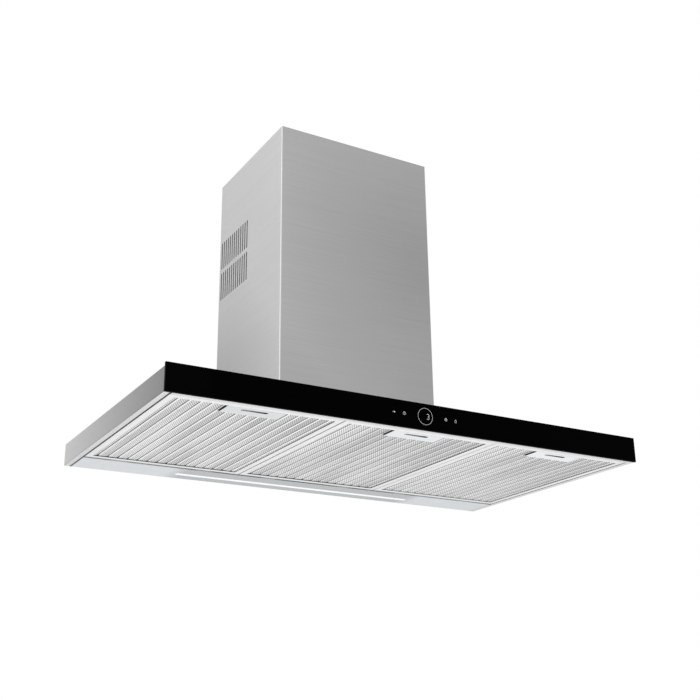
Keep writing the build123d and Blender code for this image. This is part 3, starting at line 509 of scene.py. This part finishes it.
# The sleeve is a lighter copy of the chimney steel, painted light that lifts the shade seen through the
# slots
dress(brushedSteel("sleeveSteel", grain=(4, 4, 1100), tone=0.54, metal=0.6, rough=0.42), "chimney_upper")
dress(brushedSteel("motorSteel", grain=(400, 30, 30), tone=0.4, metal=0.85, rough=0.36),
      "motor", "motor_shaft", "damper_pin")
dress(brushedSteel("satinAluminium", grain=(8, 600, 600), tone=0.66, metal=0.85, rough=0.35), "led_channel")
dress(foldedCanopy("canopySteel"), "canopy_shell")
dress(lampPanel("panelSteel"), "rear_light_panel")
dress(blackGlass("blackGlass"), "front_glass")
dress(galvanised("zincSheet", tone=0.62),
      "blower_box", "wall_plate", "chimney_curb", "motor_bracket", "capacitor_clip")
dress(mouldedPlastic("greyPlastic", colour=(0.16, 0.165, 0.175), rough=0.45),
      "scroll_left", "scroll_right", "inlet_bell_left", "inlet_bell_right", "outlet_adapter")
dress(mouldedPlastic("fanPlastic", colour=(0.08, 0.085, 0.09), rough=0.42),
      "impeller", "damper_flap_front", "damper_flap_rear")
dress(mouldedPlastic("darkPlastic", colour=(0.03, 0.03, 0.032), rough=0.5),
      "control_housing", "led_driver", "power_box", "power_box_lid", "cable_gland")
dress(mouldedPlastic("palePlastic", colour=(0.75, 0.75, 0.72), rough=0.35), "capacitor")
dress(circuitBoard("circuitBoard"), "touch_board", "led_board", "main_board")
dress(milkyLamp("milkyLamp", strength=0.5), "led_diffuser")
dress(milkyLamp("displayGuide", strength=0.4), "display_module")

# Each filter gets its own painted shade and painted light: wall tones, rib highlights and latch tone
filterFinish = {
    "left": {"paintedOuterWall": 0.02, "paintedInnerWall": 0.02, "paintedRibHighlight": 1.0, "latch": 0.82},
    "centre": {"paintedOuterWall": 0.9, "paintedInnerWall": 0.02, "paintedRibHighlight": 0.55, "latch": 0.93},
    "right": {"paintedOuterWall": 0.9, "paintedInnerWall": 0.3, "paintedRibHighlight": 0.5, "latch": 1.0},
}
filterParts = ("frame", "mesh", "latch", "latch_guide")
blackZinc = galvanised("blackZinc", tone=0.05)
for side, finish in filterFinish.items():
    rimNode, meshNode, latchNode, guideNode = (f"filter_{side}_{part}" for part in filterParts)
    dress(filterRim(f"rimSteel_{side}", rimNode, finish["paintedOuterWall"], finish["paintedInnerWall"]), rimNode)
    dress(expandedMesh(f"expandedMesh_{side}", meshNode, latchNode, finish["paintedRibHighlight"]), meshNode)
    dress(pressedLatch(f"latchSteel_{side}", latchNode, finish["latch"]), latchNode)
    dress(blackZinc, guideNode)
print("stage: CAD nodes dressed")


# Mesh helpers

def meshObject(mesh, name, material):
    data = bpy.data.meshes.new(name)
    mesh.to_mesh(data)
    mesh.free()
    data.materials.append(material)
    piece = bpy.data.objects.new(name, data)
    bpy.context.scene.collection.objects.link(piece)
    return piece


def finishPiece(mesh, name, material, body):
    piece = meshObject(mesh, name, material)
    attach(piece, body)
    return piece


def band(mesh, centre, radius, width, count, start=0, sweep=360):
    along = Vector((math.cos(math.radians(start)), math.sin(math.radians(start)), 0))
    hub = Vector((*centre, 0))
    ends = [mesh.verts.new(hub + along * (radius + side * width / 2)) for side in (-1, 1)]
    bmesh.ops.spin(mesh, geom=[*ends, mesh.edges.new(ends)], cent=hub, axis=(0, 0, 1),
                   angle=math.radians(sweep), steps=count, use_merge=sweep == 360)


def bar(mesh, first, second, width):
    run = Vector(second) - Vector(first)
    middle = (Vector(first) + Vector(second)) / 2
    seat = Matrix.Translation((*middle, 0)) @ Matrix.Rotation(math.atan2(run.y, run.x), 4, "Z")
    bmesh.ops.create_grid(mesh, x_segments=1, y_segments=1, size=0.5,
                          matrix=seat @ Matrix.Diagonal((run.length, width, 1, 1)))


def disc(mesh, centre, radius, corners, turn=0):
    seat = Matrix.Translation((*centre, 0)) @ Matrix.Rotation(math.radians(turn), 4, "Z")
    bmesh.ops.create_circle(mesh, cap_ends=True, segments=corners, radius=radius, matrix=seat)


# Control symbols printed on the glass, lit from behind

def controlSymbols():
    spec = {
        "proud": 0.03 * mm, "left": -6.1 * mm, "up": 0.5 * mm, "line": 0.5 * mm,
        "inner": 40.2 * mm, "outer": 59.6 * mm, "ring": 13.9 * mm, "ringLine": 0.45 * mm, "ringSteps": 64,
        "digitX": 5.0 * mm, "digit": 2.2 * mm, "digitLine": 0.75 * mm, "digitBow": 240, "digitSteps": 16,
        "clock": 2.4 * mm, "minuteHand": 1.56 * mm, "hourHand": 1.32 * mm, "dialSteps": 28,
        "arrow": 3.0 * mm, "arrowHead": 1.65 * mm, "headPast": 0.9 * mm,
        "fan": 2.3 * mm, "blades": 3, "blade": 0.552 * mm, "bladeOut": 0.92 * mm,
        "bladeTurn": 30, "bladeSteps": 8,
        "drop": 1.7 * mm, "dropDown": 1.02 * mm, "tip": 3.6 * mm, "shoulder": 30, "dropSteps": 18,
    }
    low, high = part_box("front_glass")
    line = spec["line"]
    mesh = bmesh.new()
    band(mesh, (0, 0), spec["ring"], spec["ringLine"], spec["ringSteps"])
    for lobe, start in ((1, -90), (-1, 90 - spec["digitBow"])):  # two bows make a plain 3
        band(mesh, (spec["digitX"], lobe * spec["digit"]), spec["digit"], spec["digitLine"],
             spec["digitSteps"], start, spec["digitBow"])

    clock = (-spec["inner"], 0)
    band(mesh, clock, spec["clock"], line, spec["dialSteps"])
    bar(mesh, clock, (clock[0], spec["minuteHand"]), line)
    bar(mesh, clock, (clock[0] + spec["hourHand"], 0), line)

    bar(mesh, (-spec["outer"] - spec["arrow"], 0), (-spec["outer"], 0), line)
    disc(mesh, (-spec["outer"] + spec["headPast"], 0), spec["arrowHead"], 3, -90)

    band(mesh, (spec["inner"], 0), spec["fan"], line, spec["dialSteps"])
    for blade in range(spec["blades"]):
        turn = math.radians(blade * 360 / spec["blades"] + spec["bladeTurn"])
        out = spec["bladeOut"] * Vector((math.cos(turn), math.sin(turn)))
        disc(mesh, Vector((spec["inner"], 0)) + out, spec["blade"], spec["bladeSteps"])

    bulb = Vector((spec["outer"], -spec["dropDown"]))
    lift = spec["shoulder"]
    band(mesh, bulb, spec["drop"], line, spec["dropSteps"], 180 - lift, 180 + 2 * lift)
    for side in (-1, 1):
        shoulder = Vector((side * math.cos(math.radians(lift)), math.sin(math.radians(lift))))
        bar(mesh, bulb + spec["drop"] * shoulder, bulb + Vector((0, spec["tip"])), line)

    bmesh.ops.rotate(mesh, matrix=Matrix.Rotation(math.pi / 2, 3, "X"), verts=mesh.verts)
    bmesh.ops.translate(mesh, verts=mesh.verts,
                        vec=(spec["left"], low.y - spec["proud"], (low.z + high.z) / 2 + spec["up"]))
    mesh.normal_update()
    bmesh.ops.reverse_faces(mesh, faces=[face for face in mesh.faces if face.normal.y > 0])
    finishPiece(mesh, "control_symbols", glowingInk("glowingInk"), "hood")


controlSymbols()
print("stage: control symbols")


# Screws that hold the outlet and the curb, seen down the chimney

screwZinc = brushedSteel("screwZinc", grain=(300, 300, 300), tone=0.55, metal=0.9, rough=0.3,
                         tint=(1.0, 0.99, 0.94))


def sheetScrews(name, level, across, middle, along):
    spec = {
        "head": 4 * mm, "crown": 2.9 * mm, "rise": 2.2 * mm, "round": 0.6 * mm, "rim": 1.305 * mm,
        "recess": 0.5 * mm, "steps": 20,
    }
    mesh = bmesh.new()
    half = level + spec["rise"] / 2
    for spot in [(side * across, middle + step * along) for side in (-1, 1) for step in (-1, 1)]:
        made = bmesh.ops.create_cone(mesh, cap_ends=True, segments=spec["steps"], radius1=spec["head"],
                                     radius2=spec["crown"], depth=spec["rise"],
                                     matrix=Matrix.Translation((*spot, half)))
        crown = [vert for vert in made["verts"] if vert.co.z > half]
        edges = {edge for vert in crown for edge in vert.link_edges}
        rim = [edge for edge in edges if all(end in crown for end in edge.verts)]
        top = next(face for face in crown[0].link_faces if len(face.verts) > 4)
        bmesh.ops.inset_region(mesh, faces=[top], thickness=spec["rim"], depth=0)
        bmesh.ops.translate(mesh, verts=top.verts, vec=(0, 0, -spec["recess"]))
        bmesh.ops.bevel(mesh, geom=rim, offset=spec["round"], segments=2, profile=0.5,
                        affect="EDGES", material=-1)
    finishPiece(mesh, name, screwZinc, "hood")


def outletScrews():
    spec = {"flange": 2 * mm, "edgeIn": 5 * mm, "rearIn": 45 * mm, "along": 22 * mm}
    low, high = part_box("outlet_adapter")
    sheetScrews("outlet_screws", low.z + spec["flange"], high.x - spec["edgeIn"],
                high.y - spec["rearIn"], spec["along"])


def curbScrews():
    spec = {"sheet": 1.5 * mm, "edgeIn": 7.5 * mm, "along": 70 * mm}
    low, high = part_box("chimney_curb")
    sheetScrews("curb_screws", low.z + spec["sheet"], high.x - spec["edgeIn"],
                (low.y + high.y) / 2, spec["along"])


outletScrews()
curbScrews()
print("stage: screws")


# Leaf springs behind the latches

def leafSpring(side):
    spec = {"strip": 0.5 * mm, "steps": 28, "travel": 5 * mm, "spare": 0.3 * mm}
    low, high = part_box(f"filter_{side}_latch_spring")
    depth = high.y - low.y
    bow = depth - spec["strip"]
    half = (high.x - low.x - spec["strip"]) / 2
    radius = (half ** 2 + bow ** 2) / (2 * bow)
    reach = 2 * math.asin(half / radius)
    hub = Vector(((low.x + high.x) / 2, low.y + spec["strip"] / 2 + radius, low.z))
    mesh = bmesh.new()
    corners = [mesh.verts.new(hub + Vector((0, across * spec["strip"] / 2 - radius, rise)))
               for across, rise in ((-1, 0), (1, 0), (1, high.z - low.z), (-1, high.z - low.z))]
    section = [mesh.edges.new((corners[turn - 1], corners[turn])) for turn in range(4)]
    bmesh.ops.rotate(mesh, verts=corners, cent=hub, matrix=Matrix.Rotation(-reach / 2, 3, "Z"))
    bmesh.ops.spin(mesh, geom=corners + section, cent=hub, axis=(0, 0, 1), angle=reach, steps=spec["steps"])
    bmesh.ops.holes_fill(mesh, edges=[edge for edge in mesh.edges if edge.is_boundary])
    bmesh.ops.recalc_face_normals(mesh, faces=mesh.faces)
    piece = finishPiece(mesh, f"leaf_spring_{side}", springSteel, f"filter_{side}")
    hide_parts(f"filter_{side}_latch_spring")
    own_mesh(piece)


for side in filterSides:
    leafSpring(side)
print("stage: leaf springs")


# Room, light and camera

def floorPlane():
    spec = {"drop": 0.95, "half": 12.0, "tone": 0.86, "rough": 0.9}
    material, tree, shader = newMaterial("paleFloor")
    shader.inputs["Base Color"].default_value = opaque(spec["tone"])
    shader.inputs["Roughness"].default_value = spec["rough"]
    mesh = bmesh.new()
    bmesh.ops.create_grid(mesh, x_segments=1, y_segments=1, size=spec["half"])
    bmesh.ops.translate(mesh, vec=(0, 0, cadBox[0][2] - spec["drop"]), verts=mesh.verts)
    piece = meshObject(mesh, "floor", material)


def studioWorld():
    spec = {"light": 0.55, "seen": 1.0, "tone": 1.0}
    world = bpy.data.worlds.new("studio")
    bpy.context.scene.world = world
    world.use_nodes = True
    tree = world.node_tree
    lit = tree.nodes["Background"]
    seen = tree.nodes.new("ShaderNodeBackground")
    for background, strength in ((lit, spec["light"]), (seen, spec["seen"])):
        background.inputs["Color"].default_value = opaque(spec["tone"])
        background.inputs["Strength"].default_value = strength
    path = tree.nodes.new("ShaderNodeLightPath")
    straight = calculate(tree, "MAXIMUM", path.outputs["Is Camera Ray"], path.outputs["Is Glossy Ray"])
    straight = calculate(tree, "MAXIMUM", straight, path.outputs["Is Transmission Ray"])
    mix = tree.nodes.new("ShaderNodeMixShader")
    tree.links.new(straight, mix.inputs["Fac"])
    tree.links.new(lit.outputs["Background"], mix.inputs[1])
    tree.links.new(seen.outputs["Background"], mix.inputs[2])
    tree.links.new(mix.outputs["Shader"], tree.nodes["World Output"].inputs["Surface"])


def areaLight(name, spot, aim, size, power):
    data = bpy.data.lights.new(name, "AREA")
    data.shape = "SQUARE"
    data.size = size
    data.energy = power
    light = bpy.data.objects.new(name, data)
    light.location = spot
    light.rotation_euler = (Vector(aim) - Vector(spot)).to_track_quat("-Z", "Y").to_euler()
    light.visible_camera = False
    bpy.context.scene.collection.objects.link(light)


def photoCamera():
    spec = {
        "focalPixels": 1093.33, "imagePixels": 700, "sensor": 36.0, "farClip": 100,
        "spot": (-0.96516, -1.90227, cadBox[0][2] - 0.47658),
        "yaw": 0.52772, "pitch": 0.3476, "roll": -0.01227,
    }
    yaw, pitch, roll = spec["yaw"], spec["pitch"], spec["roll"]
    ahead = Vector((math.sin(yaw) * math.cos(pitch), math.cos(yaw) * math.cos(pitch), math.sin(pitch)))
    level = Vector((math.cos(yaw), -math.sin(yaw), 0))
    upright = level.cross(ahead)
    right = math.cos(roll) * level + math.sin(roll) * upright
    above = math.cos(roll) * upright - math.sin(roll) * level
    data = bpy.data.cameras.new("photoCamera")
    data.sensor_width = spec["sensor"]
    data.lens = spec["sensor"] * spec["focalPixels"] / spec["imagePixels"]
    data.clip_end = spec["farClip"]
    camera = bpy.data.objects.new("photoCamera", data)
    turn = Matrix((right, above, -ahead)).transposed().to_4x4()
    camera.matrix_world = Matrix.Translation(spec["spot"]) @ turn
    bpy.context.scene.collection.objects.link(camera)
    bpy.context.scene.camera = camera


softLights = {
    "leftSoft": {"spot": (-2.4, 0.6, 0.9), "aim": (0, -0.25, -0.1), "size": 2.6, "power": 34},
    "frontSoft": {"spot": (-0.4, -3.2, 0.4), "aim": (0, -0.3, -0.1), "size": 2.4, "power": 11},
    "lowSoft": {"spot": (0.1, -0.75, -1.22), "aim": (0.1, -0.75, 0), "size": 2.0, "power": 11},
}
floorPlane()
studioWorld()
for name, spec in softLights.items():
    areaLight(name, **spec)
photoCamera()
bpy.context.scene.view_settings.view_transform = "Standard"
print("stage: room, light and camera")
